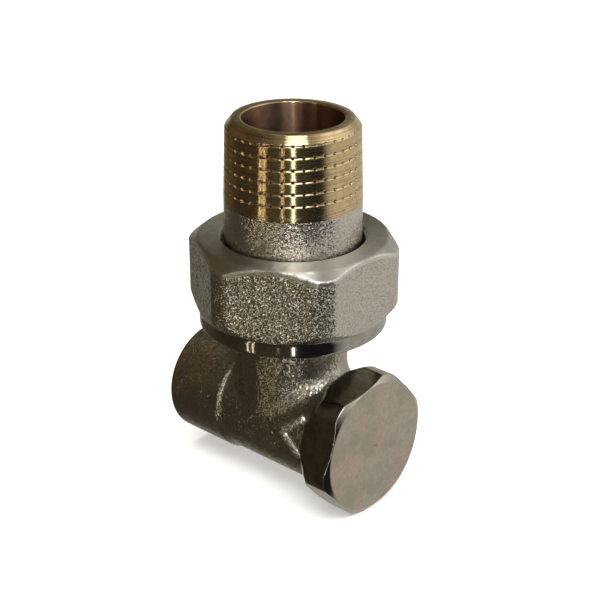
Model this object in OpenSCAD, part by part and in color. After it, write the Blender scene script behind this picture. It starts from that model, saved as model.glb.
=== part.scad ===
// Angled return valve for a radiator, with its tailpiece upright.
// The barrel lies along X: pipe end at the origin, protective cap at the far end.
// Sizes build outwards from bores and walls, so that each piece follows what it fits.
// Screw threads are drawn as plain steps at their outer size, or as rings where they show.

/* [Overall] */
// From the pipe end to the axis of the tailpiece
inlet_reach = 19.2; // [16:0.1:24]
// From the axis of the barrel to the top of the branch
branch_reach = 24.9; // [20.7:0.1:30]
// From the axis of the barrel to the rim of the tailpiece
tail_reach = 49.3; // [41:0.1:60]

/* [Seat and barrel] */
// Opening that the disc closes
port_d = 9.5; // [7.9:0.1:11.4]
// Length of the opening
port_length = 2.9; // [2.4:0.1:3.5]
// Width of the raised lip round the opening
lip_width = 0.55; // [0.4:0.05:0.7]
// Height of the raised lip
lip_height = 0.5; // [0.4:0.1:0.7]
// Lift of the disc from closed to open
lift = 3; // [2.5:0.1:3.6]
// Room for the water round the disc's cup
chamber_gap = 0.75; // [0.6:0.05:1]
// Wall of the barrel round the chamber
barrel_wall = 2.2; // [1.8:0.1:2.7]

/* [Pipe end] */
// Crest of the pipe end's inner thread, a 3/8 inch pipe thread
inlet_thread_d = 14.95; // [12.5:0.05:18]
// Wall of the pipe end over the crests of its thread
collar_wall = 1.825; // [1.5:0.005:2.2]
// Length of the thicker pipe end
collar_length = 11.1; // [9:0.1:13.3]
// Chamfers on the outer edges of the forging
edge_chamfer = 0.35; // [0.2:0.05:0.6]

/* [Branch] */
// Water way of the branch
branch_bore_d = 11.8; // [9.8:0.1:14.2]
// Wall of the branch under the union
branch_wall = 2.75; // [2.2:0.05:3.3]
// Width of the blend between branch and barrel
saddle_width = 1.9; // [1.5:0.1:2.4]
// Depth of the union thread, a 3/4 inch pipe thread
union_thread_depth = 1.1; // [0.9:0.1:1.3]
// Pitch of the 14 to the inch threads
pitch = 1.814; // [1.5:0.002:2.2]
// Turns of the union thread
union_turns = 3; // [2:1:4]

/* [Tailpiece] */
// Bore of the tailpiece
tail_bore_d = 15.46; // [12.9:0.02:18.6]
// Gauge diameter of the tapered thread, a 1/2 inch pipe thread
tail_thread_d = 20.955; // [17.4:0.005:25.2]
// Length of the tapered thread
tail_thread_length = 12.6; // [10.5:0.1:15]
// Depth of the tapered thread
tail_thread_depth = 0.42; // [0.35:0.01:0.5]
// Height of the chamfer at the rim
tail_rim_chamfer = 1.3; // [1:0.1:1.6]
// Wall of the rim above the chamfer
tail_rim_wall = 1.47; // [1.2:0.01:1.8]
// Step from the gauge diameter out to the neck
neck_step = 0.12; // [0.05:0.01:0.2]
// Width of the flange that the nut pulls on
flange_width = 0.9; // [0.7:0.1:1.1]
// Thickness of the flange
flange_thickness = 2.7; // [2.2:0.1:3.3]
// Wall of the spigot that goes into the branch
spigot_wall = 2.02; // [1.9:0.01:2.4]
// Length of the spigot
spigot_length = 3.5; // [2.9:0.1:4.2]
// Section of the spigot's sealing ring
union_ring_section = 1.2; // [1:0.05:1.4]

/* [Union nut] */
// Wall of the nut between its thread and its flats
nut_wall = 1.6; // [1.3:0.1:2]
// How far the corners stand out beyond the flats, before they would be sharp
nut_corner = 1.55; // [1.3:0.05:1.9]
// Height of the whole nut
nut_height = 14.2; // [11.8:0.1:17]
// Height of the turned skirt under the hexagon
skirt_height = 1.9; // [1.6:0.1:2.3]
// Height of the slope that the corners are turned to at the top of the nut
nut_chamfer = 1.4; // [1.1:0.1:1.7]
// Thickness of the nut's roof
nut_roof = 2.8; // [2.3:0.1:3.4]
// Gap between the neck and the hole in the roof
nut_hole_gap = 0.4; // [0.3:0.05:0.5]
// Room between the nut and the crests of the union thread
nut_clearance = 0.08; // [0.06:0.01:0.1]

/* [Spindle and disc] */
// Across the flats of the hexagon socket
socket_flats = 4; // [3.3:0.1:4.8]
// Depth of the hexagon socket
socket_depth = 3.2; // [2.6:0.1:3.9]
// Wall of the stem at the socket's corners
stem_wall = 1.54; // [1.3:0.01:1.9]
// Step from the stem out to the crest of the spindle's thread
spindle_thread_step = 0.65; // [0.5:0.05:0.8]
// Section of the spindle's sealing rings
ring_section = 0.86; // [0.7:0.02:1]
// Room between turned parts that move in each other
running_gap = 0.05; // [0.04:0.01:0.06]
// How far the soft disc covers the lip on its outer side
disc_overlap = 0.12; // [0.1:0.01:0.2]
// Thickness of the soft disc
disc_thickness = 2; // [1.7:0.1:2.4]
// Wall of the cup round the disc
cup_wall = 0.45; // [0.35:0.05:0.55]
// Screw that holds the disc
screw_d = 2.9; // [2.4:0.1:3.5]
// Head of that screw
screw_head_d = 5; // [4.2:0.1:6]
// Height of the screw's head
screw_head_height = 1.3; // [1.1:0.1:1.6]
// Washer under the screw
washer_d = 6.4; // [5.3:0.1:7.7]
// Thickness of that washer
washer_thickness = 0.6; // [0.5:0.1:0.8]

/* [Bonnet] */
// Step from the chamber out to the bonnet's thread
bonnet_thread_step = 0.6; // [0.5:0.05:0.8]
// How far the bonnet's hexagon stands out over its thread, on each flat
bonnet_rim = 0.5; // [0.4:0.05:0.6]
// Thickness of the bonnet's hexagon
bonnet_hex_height = 1.5; // [1.2:0.1:1.8]
// Wall of the bonnet's nose round the spindle's thread
nose_wall = 1.4; // [1.1:0.05:1.45]
// Wall of the neck that the cap screws on
neck_wall = 2.65; // [2.2:0.05:3.2]

/* [Cap] */
// Clear way between the branch and the cap
cap_gap = 2.45; // [2:0.05:3]
// Length of the cap
cap_length = 6.2; // [5.6:0.1:7.5]
// Thickness of the cap's front
cap_front = 1.4; // [1.1:0.1:1.7]
// Wall of the cap at its flats
cap_wall = 1.28; // [1:0.01:1.6]
// How far the corners stand out beyond the flats, before they would be sharp
cap_corner = 0.9; // [0.7:0.05:1.1]
// Turn of the cap's top flat towards the viewer
cap_turn = 12; // [0:1:59]
// Thickness of the ring in the cap
cap_ring_thickness = 0.75; // [0.6:0.05:0.9]

/* [Hidden] */
$fn = 96;
over = 1;
face_gap = 0.05;

nickel = [0.62, 0.60, 0.55];
brass = [0.80, 0.64, 0.33];
rubber = [0.13, 0.13, 0.13];
fibre = [0.55, 0.22, 0.16];

// The barrel, from the port outwards.
port_r = port_d / 2;
disc_r = port_r + lip_width + disc_overlap;
disc_room = 0.08;
cup_r = disc_r + disc_room + cup_wall;
chamber_r = cup_r + chamber_gap;
barrel_r = chamber_r + barrel_wall;
bonnet_thread_r = chamber_r + bonnet_thread_step;
gland_r = bonnet_thread_r + 0.3;
inlet_thread_r = inlet_thread_d / 2;
collar_r = inlet_thread_r + collar_wall;

// The branch bore just misses the seat and the bonnet's nose.
branch_bore_r = branch_bore_d / 2;
branch_r = branch_bore_r + branch_wall;
seat_x = inlet_reach - branch_bore_r - 0.2;
drill_slope = tan(31);
inlet_thread_depth = seat_x - port_length - (inlet_thread_r - port_r) * drill_slope;

// The cap clears the branch, and the headwork is built back from its front.
cap_back_x = inlet_reach + branch_r + cap_gap;
cap_x = cap_back_x + cap_length;
barrel_end_x = cap_back_x - 0.1;
bonnet_hex_x = barrel_end_x;
neck_x = bonnet_hex_x + bonnet_hex_height;
neck_end_x = cap_x - cap_front - cap_ring_thickness - face_gap;
chamber_end_x = inlet_reach + branch_bore_r + 0.1;
gland_depth = 0.9;

// The spindle, from its socket outwards.
stem_r = socket_flats / 2 / cos(30) + stem_wall;
stem_bore_r = stem_r + running_gap;
spindle_thread_r = stem_r + spindle_thread_step;
nose_r = spindle_thread_r + nose_wall;
cap_thread_r = stem_r + neck_wall;
bonnet_flats = 2 * (bonnet_thread_r + bonnet_rim);

// The disc stands open, one lift away from the seat.
disc_x = seat_x + lift;
disc_back_x = disc_x + disc_thickness;
cup_depth = 1.2;
cup_floor = 1.45;
shoulder_x = disc_back_x + cup_floor;
nose_x = shoulder_x + 0.35;
spindle_end_x = neck_end_x - 0.4;
groove_width = ring_section + 0.24;
groove_r = stem_r - ring_section - 0.04;
outer_groove_x = spindle_end_x - 1.3 - groove_width;
inner_groove_x = outer_groove_x - 0.5 - groove_width;
gland_bore_x = inner_groove_x - lift - 0.1;
spindle_thread_end_x = gland_bore_x - 0.4;

// The union, from the tailpiece outwards.
tail_bore_r = tail_bore_d / 2;
gauge_length = 8.2;
taper = 1 / 32;
neck_r = tail_thread_d / 2 + neck_step;
nut_hole_r = neck_r + nut_hole_gap;
flange_r = nut_hole_r + flange_width;
union_root_r = flange_r + 0.17;
union_thread_r = union_root_r + union_thread_depth;
nut_bore_r = union_thread_r + nut_clearance;
nut_flats = 2 * (nut_bore_r + nut_wall);
spigot_r = tail_bore_r + spigot_wall;
spigot_gap = 0.1;
union_ring_r = spigot_r + 0.08 - union_ring_section / 2;
flange_z = branch_reach + 0.1;
flange_top_z = flange_z + flange_thickness;
nut_top_z = flange_top_z + 0.1 + nut_roof;
nut_z = nut_top_z - nut_height;
nut_hex_z = nut_z + skirt_height;

// A profile of points [radius, x] turned about the axis of the barrel.
module turn_x(points) {
    rotate([0, 90, 0]) rotate_extrude() polygon(points);
}

// A profile of points [radius, z] turned about the axis of the tailpiece.
module turn_z(points) {
    translate([inlet_reach, 0, 0]) rotate_extrude() polygon(points);
}

// A sealing ring of round section about the barrel axis.
module ring_x(centre_r, section, x) {
    translate([x, 0, 0]) rotate([0, 90, 0]) rotate_extrude()
        translate([centre_r, 0]) circle(d = section, $fn = 32);
}

// A hexagonal bar along Z with a flat facing along X.
module hexagon(flats, height) {
    rotate([0, 0, 30]) cylinder(d = flats / cos(30), h = height, $fn = 6);
}

// A blend round the foot of the branch. It fades out at the sides, where both tubes are flush.
module saddle() {
    steps = 72;
    bend = 5;
    sunk = 0.04;
    function foot(a, r) = sqrt(max(pow(barrel_r - sunk, 2) - pow(r * sin(a), 2), 0));
    widest = min(saddle_width, cap_gap - 0.55);
    function width(a) = 0.25 + widest * pow(cos(a), 2);
    function low(a) = let (r = min(branch_r + width(a), 0.985 * barrel_r / max(abs(sin(a)), 0.01)))
        [r * cos(a), r * sin(a), foot(a, r)];
    function high(a) = [(branch_r - sunk) * cos(a), (branch_r - sunk) * sin(a), foot(a, branch_r) + width(a)];
    function corner(a) = [branch_r * cos(a), branch_r * sin(a), foot(a, branch_r)];
    function root(a) = [(branch_r - 1) * cos(a), (branch_r - 1) * sin(a), foot(a, branch_r) - 1];
    function bow(a, t) = (1 - t) * (1 - t) * high(a) + 2 * t * (1 - t) * corner(a) + t * t * low(a);
    function section(a) = concat([root(a)], [for (k = [0 : bend]) bow(a, k / bend)]);
    count = bend + 2;
    points = [for (i = [0 : steps - 1]) each section(i * 360 / steps)];
    faces = [for (i = [0 : steps - 1]) for (k = [0 : count - 1])
        let (n = (i + 1) % steps, m = (k + 1) % count)
        [i * count + k, i * count + m, n * count + m, n * count + k]];
    translate([inlet_reach, 0, 0]) polyhedron(points, faces, convexity = 4);
}

module barrel_outside() {
    turn_x([[0, 0], [collar_r - edge_chamfer, 0], [collar_r, edge_chamfer],
        [collar_r, collar_length - edge_chamfer], [barrel_r, collar_length],
        [barrel_r, barrel_end_x - edge_chamfer], [barrel_r - edge_chamfer, barrel_end_x], [0, barrel_end_x]]);
}

// One profile from the pipe thread through the port and the chamber to the mouth of the bonnet.
module barrel_hollow() {
    mouth = 0.4;
    lip_r = port_r + lip_width;
    turn_x([[0, -over], [inlet_thread_r + mouth + over, -over], [inlet_thread_r, mouth],
        [inlet_thread_r, inlet_thread_depth], [port_r, seat_x - port_length],
        [port_r, seat_x], [lip_r, seat_x], [lip_r, seat_x - lip_height],
        [chamber_r, seat_x - lip_height], [chamber_r, chamber_end_x],
        [bonnet_thread_r, chamber_end_x + 0.5], [bonnet_thread_r, barrel_end_x - gland_depth],
        [gland_r, barrel_end_x - gland_depth], [gland_r, barrel_end_x + over], [0, barrel_end_x + over]]);
}

// Crests of the union thread, from the top of the branch downwards.
function union_thread() = [for (i = [0 : union_turns - 1])
    let (top = branch_reach - 0.8 - i * pitch)
    each [[union_root_r, top], [union_thread_r, top - 0.3 * pitch],
        [union_thread_r, top - 0.45 * pitch], [union_root_r, top - 0.75 * pitch]]];

module branch_outside() {
    thread_z = branch_reach - 0.8 - union_turns * pitch;
    turn_z(concat([[0, 0], [branch_r, 0], [branch_r, thread_z - 1.4], [union_root_r - 0.4, thread_z - 0.5],
        [union_root_r, thread_z]], [for (i = [len(union_thread()) - 1 : -1 : 0]) union_thread()[i]],
        [[union_root_r - 0.5, branch_reach], [0, branch_reach]]));
}

// The water way widens to the tailpiece's bore, then to the socket of its spigot.
module branch_hollow() {
    socket_r = spigot_r + spigot_gap;
    socket_z = branch_reach - spigot_length - 0.3;
    throat_z = socket_z - 1.2;
    turn_z([[0, 0], [branch_bore_r, 0], [branch_bore_r, throat_z - 1.4], [tail_bore_r, throat_z],
        [tail_bore_r, socket_z], [socket_r, socket_z], [socket_r, branch_reach - 0.4],
        [socket_r + 0.4 + over, branch_reach + over], [0, branch_reach + over]]);
}

module valve_body() {
    color(nickel) difference() {
        union() {
            barrel_outside();
            branch_outside();
            saddle();
        }
        barrel_hollow();
        branch_hollow();
    }
}

module bonnet() {
    thread_r = bonnet_thread_r - running_gap;
    neck_crest_r = cap_thread_r - running_gap;
    undercut_r = gland_r - ring_section - 0.1;
    color(brass) difference() {
        union() {
            turn_x([[0, nose_x], [nose_r - 0.4, nose_x], [nose_r, nose_x + 0.4],
                [nose_r, chamber_end_x + 0.1], [thread_r, chamber_end_x + 0.6],
                [thread_r, barrel_end_x - gland_depth], [undercut_r, barrel_end_x - gland_depth],
                [undercut_r, bonnet_hex_x + 0.1], [0, bonnet_hex_x + 0.1]]);
            intersection() {
                translate([bonnet_hex_x, 0, 0]) rotate([0, 90, 0]) hexagon(bonnet_flats, bonnet_hex_height);
                turn_x([[0, bonnet_hex_x], [bonnet_flats / 2 + 1, bonnet_hex_x],
                    [bonnet_flats / 2 + 1, neck_x - 0.6], [bonnet_flats / 2 - 0.3, neck_x], [0, neck_x]]);
            }
            turn_x([[0, neck_x - 0.1], [neck_crest_r - 0.4, neck_x - 0.1], [neck_crest_r - 0.4, neck_x + 0.3],
                [neck_crest_r, neck_x + 0.7], [neck_crest_r, neck_end_x - 0.4],
                [neck_crest_r - 0.4, neck_end_x], [0, neck_end_x]]);
        }
        turn_x([[0, nose_x - over], [spindle_thread_r, nose_x - over], [spindle_thread_r, gland_bore_x - 0.3],
            [stem_bore_r, gland_bore_x], [stem_bore_r, neck_end_x - 0.3],
            [stem_bore_r + 0.3 + over, neck_end_x + over], [0, neck_end_x + over]]);
    }
}

module bonnet_ring() {
    color(rubber) ring_x(gland_r - 0.06 - ring_section / 2, ring_section, barrel_end_x - gland_depth / 2);
}

// Cup, thread and stem in one turned piece, with two ring grooves and a hexagon socket.
module spindle() {
    recess_r = disc_r + disc_room;
    thread_r = spindle_thread_r - running_gap;
    hole_r = screw_d / 2 + running_gap;
    color(brass) difference() {
        turn_x([[0, disc_back_x], [recess_r, disc_back_x], [recess_r, disc_back_x - cup_depth],
            [cup_r, disc_back_x - cup_depth], [cup_r, shoulder_x - 0.3], [cup_r - 0.3, shoulder_x],
            [stem_r, shoulder_x], [stem_r, shoulder_x + 0.6], [thread_r, shoulder_x + 1.1],
            [thread_r, spindle_thread_end_x - 0.5], [stem_r, spindle_thread_end_x],
            [stem_r, inner_groove_x], [groove_r, inner_groove_x],
            [groove_r, inner_groove_x + groove_width], [stem_r, inner_groove_x + groove_width],
            [stem_r, outer_groove_x], [groove_r, outer_groove_x],
            [groove_r, outer_groove_x + groove_width], [stem_r, outer_groove_x + groove_width],
            [stem_r, spindle_end_x - 0.3], [stem_r - 0.3, spindle_end_x], [0, spindle_end_x]]);
        translate([spindle_end_x - socket_depth, 0, 0]) rotate([0, 90, 0])
            hexagon(socket_flats, socket_depth + over);
        turn_x([[0, disc_x], [hole_r, disc_x], [hole_r, shoulder_x + 2.4],
            [0, shoulder_x + 2.4 + hole_r * tan(31)]]);
    }
}

module spindle_ring_inner() {
    color(rubber) ring_x(groove_r + 0.03 + ring_section / 2, ring_section, inner_groove_x + groove_width / 2);
}

module spindle_ring_outer() {
    color(rubber) ring_x(groove_r + 0.03 + ring_section / 2, ring_section, outer_groove_x + groove_width / 2);
}

module seat_disc() {
    hole_r = screw_d / 2 + 0.15;
    color(rubber) turn_x([[hole_r, disc_x], [disc_r - 0.2, disc_x], [disc_r, disc_x + 0.2],
        [disc_r, disc_back_x], [hole_r, disc_back_x]]);
}

module disc_washer() {
    hole_r = screw_d / 2 + 0.15;
    washer_x = disc_x - washer_thickness;
    color(nickel) turn_x([[hole_r, washer_x], [washer_d / 2 - 0.1, washer_x], [washer_d / 2, washer_x + 0.1],
        [washer_d / 2, disc_x], [hole_r, disc_x]]);
}

module disc_screw() {
    head_x = disc_x - washer_thickness;
    head_r = screw_head_d / 2;
    shank_r = screw_d / 2;
    slot = 0.7;
    color(brass) difference() {
        turn_x([[0, head_x - screw_head_height], [head_r - 0.3, head_x - screw_head_height],
            [head_r, head_x - screw_head_height + 0.3], [head_r, head_x], [shank_r, head_x],
            [shank_r, shoulder_x + 1.8], [shank_r - 0.4, shoulder_x + 2.2], [0, shoulder_x + 2.2]]);
        translate([head_x - screw_head_height - over, -slot / 2, -head_r - over])
            cube([over + 0.6, slot, 2 * (head_r + over)]);
    }
}

// A hexagon turned round at its corners, chamfered at both ends and hollowed from the back.
module cap() {
    skirt_r = bonnet_flats / 2 / cos(30) + 0.26;
    flat_r = skirt_r + cap_wall;
    round_r = flat_r + cap_corner;
    skirt_end_x = neck_x + 0.3;
    floor_x = cap_x - cap_front;
    color(nickel) difference() {
        intersection() {
            translate([cap_back_x, 0, 0]) rotate([0, 90, 0]) rotate([0, 0, cap_turn])
                hexagon(2 * flat_r, cap_length);
            turn_x([[0, cap_back_x], [flat_r + 0.15, cap_back_x], [round_r, cap_back_x + 1.5],
                [round_r, cap_x - 0.7], [flat_r + 0.35, cap_x], [0, cap_x]]);
        }
        turn_x([[0, cap_back_x - over], [skirt_r, cap_back_x - over], [skirt_r, skirt_end_x],
            [cap_thread_r + 0.3, skirt_end_x], [cap_thread_r, skirt_end_x + 0.3],
            [cap_thread_r, floor_x], [0, floor_x]]);
    }
}

module cap_ring() {
    floor_x = cap_x - cap_front;
    inner_r = stem_r + 0.45;
    outer_r = cap_thread_r - 0.2;
    color(fibre) turn_x([[inner_r, floor_x - cap_ring_thickness], [outer_r, floor_x - cap_ring_thickness],
        [outer_r, floor_x], [inner_r, floor_x]]);
}

// Radius of the tapered thread's crests at a height below the rim.
function tail_crest(depth) = tail_thread_d / 2 + (depth - gauge_length) * taper;

// Crests and roots of the tapered thread, from the neck up to the rim chamfer.
function tail_thread() = let (turns = floor((tail_thread_length - tail_rim_chamfer) / pitch))
    [for (i = [0 : turns - 1])
        let (depth = tail_thread_length - i * pitch, r = tail_crest(depth))
        each [[r - tail_thread_depth, tail_reach - depth], [r, tail_reach - depth + 0.2 * pitch],
            [r, tail_reach - depth + 0.8 * pitch], [r - tail_thread_depth, tail_reach - depth + pitch]]];

module tailpiece() {
    groove_z = flange_z - spigot_length / 2;
    groove_half = union_ring_section / 2 + 0.12;
    groove_floor_r = union_ring_r - union_ring_section / 2 - 0.02;
    rim_r = tail_bore_r + tail_rim_wall;
    color(brass) turn_z(concat([[tail_bore_r, flange_z - spigot_length],
        [spigot_r - 0.4, flange_z - spigot_length], [spigot_r, flange_z - spigot_length + 0.4],
        [spigot_r, groove_z - groove_half], [groove_floor_r, groove_z - groove_half],
        [groove_floor_r, groove_z + groove_half], [spigot_r, groove_z + groove_half],
        [spigot_r, flange_z], [flange_r, flange_z], [flange_r, flange_top_z - 0.3],
        [flange_r - 0.3, flange_top_z], [neck_r, flange_top_z],
        [neck_r, tail_reach - tail_thread_length - 0.6]],
        tail_thread(),
        [[rim_r, tail_reach], [tail_bore_r + 0.25, tail_reach], [tail_bore_r, tail_reach - 0.25]]));
}

module union_ring() {
    color(rubber) translate([inlet_reach, 0, flange_z - spigot_length / 2]) rotate_extrude()
        translate([union_ring_r, 0]) circle(d = union_ring_section, $fn = 32);
}

// A hexagon with turned corners over a round skirt as wide as its flats.
module union_nut() {
    flat_r = nut_flats / 2;
    round_r = flat_r + nut_corner;
    roof_z = nut_top_z - nut_roof;
    color(nickel) difference() {
        intersection() {
            translate([inlet_reach, 0, nut_z]) hexagon(nut_flats, nut_height);
            turn_z([[0, nut_z], [flat_r - 0.3, nut_z], [flat_r, nut_z + 0.3], [flat_r, nut_hex_z],
                [round_r, nut_hex_z + 1.5], [round_r, nut_top_z - nut_chamfer],
                [flat_r - 0.25, nut_top_z], [0, nut_top_z]]);
        }
        turn_z([[0, nut_z - over], [nut_bore_r + 0.5 + over, nut_z - over], [nut_bore_r, nut_z + 0.5],
            [nut_bore_r, roof_z], [nut_hole_r, roof_z], [nut_hole_r, nut_top_z - 0.4],
            [nut_hole_r + 0.4 + over, nut_top_z + over], [0, nut_top_z + over]]);
    }
}

valve_body();
bonnet();
bonnet_ring();
spindle();
spindle_ring_inner();
spindle_ring_outer();
seat_disc();
disc_washer();
disc_screw();
cap();
cap_ring();
tailpiece();
union_ring();
union_nut();
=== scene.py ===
import math

import bpy
import numpy as np
from mathutils import Matrix, Vector


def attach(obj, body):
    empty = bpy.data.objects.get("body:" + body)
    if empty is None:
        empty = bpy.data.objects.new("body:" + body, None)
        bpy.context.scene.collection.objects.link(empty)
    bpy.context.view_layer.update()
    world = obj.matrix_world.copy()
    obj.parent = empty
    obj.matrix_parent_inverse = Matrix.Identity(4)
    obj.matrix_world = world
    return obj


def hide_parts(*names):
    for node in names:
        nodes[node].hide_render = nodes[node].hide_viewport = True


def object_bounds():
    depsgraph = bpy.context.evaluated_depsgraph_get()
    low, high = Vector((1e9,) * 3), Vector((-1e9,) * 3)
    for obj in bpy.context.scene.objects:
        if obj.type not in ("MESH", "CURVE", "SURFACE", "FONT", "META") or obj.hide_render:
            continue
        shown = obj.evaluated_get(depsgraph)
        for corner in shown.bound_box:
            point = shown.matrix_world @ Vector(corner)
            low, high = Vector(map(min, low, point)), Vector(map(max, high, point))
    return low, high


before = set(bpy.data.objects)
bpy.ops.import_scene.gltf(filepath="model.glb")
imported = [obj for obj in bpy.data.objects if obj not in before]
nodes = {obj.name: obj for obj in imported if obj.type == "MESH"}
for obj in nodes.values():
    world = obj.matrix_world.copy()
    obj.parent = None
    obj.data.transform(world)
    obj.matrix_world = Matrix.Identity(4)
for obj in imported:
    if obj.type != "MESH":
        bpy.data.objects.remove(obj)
cad_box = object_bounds()
MM = 0.001

# Lengths are in millimetres, except for the camera and the lights. The pipe end's face is at x = 0, the
# barrel lies along +X and ends in the cap, and the tailpiece stands upright on TAIL_X.
TAIL_X = 19.2
PITCH = 1.814                    # of the tail's thread and of the union's
GROOVE_Z = 47.85                 # the tail's topmost groove where it faces the camera
BORE_R = 7.73                    # water's way through the tailpiece
AXIS_R = 0.01                    # radius of the tiny faces that close a turned shape on its axis

# The camera, fitted to the photograph
AZ, EL, ROLL = math.radians(42.591), math.radians(24.307), math.radians(0.110)
FACING = math.atan2(-math.cos(AZ), math.sin(AZ))     # angle about Z that faces the camera
DISTANCE = 0.236925                                  # in metres, to the point TAIL_X on the barrel's axis
AIM_U, AIM_V = 293.181, 409.290                      # pixel at which that point is seen
FOCAL, PICTURE = 1463.689, 600                       # in pixels
SENSOR = 36.0                                        # in millimetres


# Helpers
def smooth(t):
    t = min(max(t, 0.0), 1.0)
    return t * t * (3 - 2 * t)


def lerp(a, b, t):
    return a + (b - a) * t


def soft_min(a, b, width):
    """The smaller of two numbers, blended where they are nearly equal."""
    low, gap = min(a, b), abs(a - b)
    return low - width * math.log(1 + math.exp(-gap / width))


def axes_matrix(x, y, z, place):
    """Matrix of an object at a place, turned to three axes."""
    rows = [(x[k], y[k], z[k], place[k]) for k in range(3)]
    return Matrix(rows + [(0, 0, 0, 1)])


def link_object(name, data):
    obj = bpy.data.objects.new(name, data)
    bpy.context.scene.collection.objects.link(obj)
    return obj


def mesh_object(name, points, faces):
    mesh = bpy.data.meshes.new(name)
    mesh.from_pydata([(x * MM, y * MM, z * MM) for x, y, z in points], [], faces)
    mesh.validate()
    return link_object(name, mesh)


def shade(obj, degrees):
    """Smooth shading that keeps edges sharper than the angle."""
    for face in obj.data.polygons:
        face.use_smooth = True
    obj.data.set_sharp_from_angle(angle=math.radians(degrees))


def make_camera():
    back = Vector((math.sin(AZ) * math.cos(EL), -math.cos(AZ) * math.cos(EL), math.sin(EL)))
    level = Vector((math.cos(AZ), math.sin(AZ), 0.0))
    above = back.cross(level)
    right = level * math.cos(ROLL) + above * math.sin(ROLL)
    up = above * math.cos(ROLL) - level * math.sin(ROLL)
    aim = Vector((TAIL_X * MM, 0, 0))
    place = (aim + back * DISTANCE - right * (AIM_U - PICTURE / 2) * DISTANCE / FOCAL
             + up * (AIM_V - PICTURE / 2) * DISTANCE / FOCAL)
    data = bpy.data.cameras.new("camera")
    data.sensor_width = SENSOR
    data.lens = FOCAL / PICTURE * SENSOR
    data.clip_start, data.clip_end = 0.01, 20.0
    camera = link_object("camera", data)
    camera.matrix_world = axes_matrix(right, up, back, place)
    bpy.context.scene.camera = camera


make_camera()
view = bpy.context.scene.view_settings
view.view_transform = "Standard"
view.look = "None"


class Tree:
    """Short names for building a node tree."""

    def __init__(self, tree):
        self.tree = tree
        tree.nodes.clear()

    def node(self, kind, **values):
        n = self.tree.nodes.new(kind)
        for key, value in values.items():
            setattr(n, key, value)
        return n

    def link(self, a, b):
        self.tree.links.new(a, b)

    def put(self, socket, value):
        if isinstance(value, bpy.types.NodeSocket):
            self.link(value, socket)
        else:
            socket.default_value = value

    def math(self, kind, a, b=0.0, c=0.0):
        n = self.node("ShaderNodeMath", operation=kind)
        for socket, value in zip(n.inputs, (a, b, c)):
            self.put(socket, value)
        return n.outputs[0]

    def vector(self, kind, a, b=None):
        n = self.node("ShaderNodeVectorMath", operation=kind)
        self.link(a, n.inputs[0])
        if b is not None:
            self.put(n.inputs["Scale" if kind == "SCALE" else 1], b)
        return n.outputs[0]

    def split(self, vector):
        n = self.node("ShaderNodeSeparateXYZ")
        self.link(vector, n.inputs[0])
        return n.outputs

    def step(self, value, low, high):
        """0 below low, 1 above high, smooth between."""
        n = self.node("ShaderNodeMapRange", interpolation_type="SMOOTHSTEP")
        self.link(value, n.inputs["Value"])
        n.inputs["From Min"].default_value = low
        n.inputs["From Max"].default_value = high
        return n.outputs[0]

    def ramp(self, value, stops):
        n = self.node("ShaderNodeValToRGB")
        elements = n.color_ramp.elements
        for i, (place, colour) in enumerate(stops):
            element = elements[i] if i < 2 else elements.new(place)
            element.position = place
            element.color = (*colour, 1.0)
        self.link(value, n.inputs[0])
        return n.outputs[0]

    def mix(self, factor, a, b):
        n = self.node("ShaderNodeMix", data_type="RGBA")
        self.put(n.inputs["Factor"], factor)
        colour_in = [s for s in n.inputs if s.type == "RGBA"]
        for socket, value in zip(colour_in, (a, b)):
            self.put(socket, (*value, 1.0) if isinstance(value, tuple) else value)
        return [s for s in n.outputs if s.type == "RGBA"][0]

    def noise(self, vector, scale, detail, rough, seed):
        n = self.node("ShaderNodeTexNoise", noise_dimensions="4D")
        self.link(vector, n.inputs["Vector"])
        n.inputs["W"].default_value = seed
        n.inputs["Scale"].default_value = scale
        n.inputs["Detail"].default_value = detail
        n.inputs["Roughness"].default_value = rough
        return n.outputs["Fac"]

    def bump(self, height, shader, depth):
        """Relief of a depth in millimetres."""
        n = self.node("ShaderNodeBump")
        n.inputs["Strength"].default_value = 1.0
        n.inputs["Distance"].default_value = depth * MM
        self.link(height, n.inputs["Height"])
        self.link(n.outputs[0], shader.inputs["Normal"])


# Light
# Colours of the surroundings by azimuth, in degrees to the right of the camera's: low down and high up
LOW_SKY = [(-180, (0.50, 0.485, 0.45)), (-160, (0.36, 0.35, 0.30)), (-148, (0.105, 0.09, 0.06)),
           (-130, (0.10, 0.083, 0.055)), (-105, (0.05, 0.041, 0.029)), (-80, (0.05, 0.040, 0.027)),
           (-55, (0.065, 0.049, 0.030)), (-25, (0.062, 0.053, 0.038)), (0, (0.05, 0.042, 0.03)),
           (10, (0.018, 0.017, 0.016)), (50, (0.012, 0.013, 0.014)), (60, (0.42, 0.40, 0.375)),
           (70, (0.60, 0.57, 0.53)), (110, (0.62, 0.59, 0.55)), (150, (0.56, 0.54, 0.50)),
           (180, (0.50, 0.485, 0.45))]
HIGH_SKY = [(-180, (0.11, 0.10, 0.07)), (-140, (0.07, 0.06, 0.04)), (-118, (0.12, 0.085, 0.042)),
            (-90, (0.08, 0.067, 0.046)), (-50, (0.085, 0.072, 0.053)), (-22, (0.24, 0.225, 0.20)),
            (10, (0.36, 0.34, 0.315)), (46, (0.42, 0.405, 0.385)), (72, (1.1, 1.06, 1.02)),
            (105, (1.1, 1.06, 1.02)), (130, (0.55, 0.52, 0.48)), (155, (0.40, 0.38, 0.34)),
            (172, (0.30, 0.28, 0.25)), (180, (0.10, 0.09, 0.062))]
CEILING = (0.40, 0.38, 0.33)
BACKDROP = (0.93, 0.93, 0.92)    # seen by the camera only
# Heights between which low turns to high, and high to ceiling, as the sine of the elevation
HIGH_FROM, HIGH_FULL, CEILING_FROM, CEILING_FULL = 0.0, 0.30, 0.80, 0.97


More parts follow.
